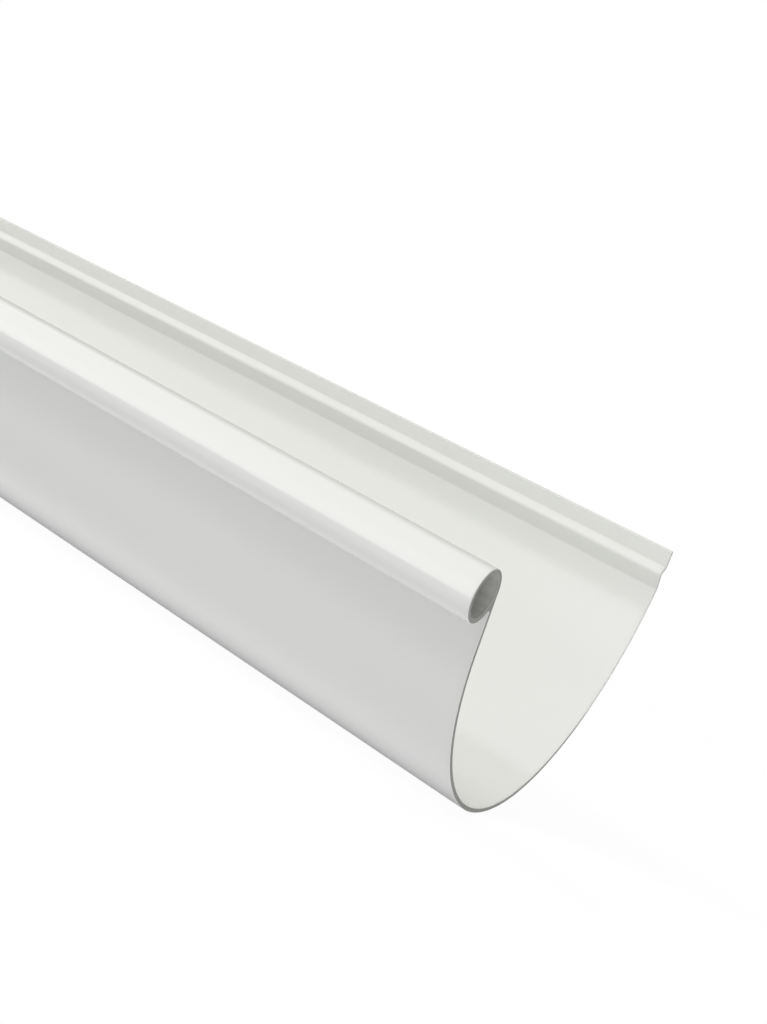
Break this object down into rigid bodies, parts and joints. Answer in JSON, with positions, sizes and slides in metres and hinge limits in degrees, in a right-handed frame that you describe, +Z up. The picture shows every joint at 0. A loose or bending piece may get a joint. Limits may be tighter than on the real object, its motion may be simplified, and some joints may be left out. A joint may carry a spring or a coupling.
{
  "type": "gutter section",
  "caption": "Length of white half-round rain gutter with a hollow round front bead and a small bracket ledge along the back edge.",
  "frame": {"origin": "middle of the length and of the overall width, at the level that the gutter lies on", "axes": "+X along the length, +Y from the beaded front towards the back edge, +Z up"},
  "size_m": [2, 0.1961, 0.1247],
  "materials": {
    "gutter": "glossy white extruded PVC"
  },
  "bodies": {
    "root": {"gutter": "gutter"}
  },
  "joints": []
}
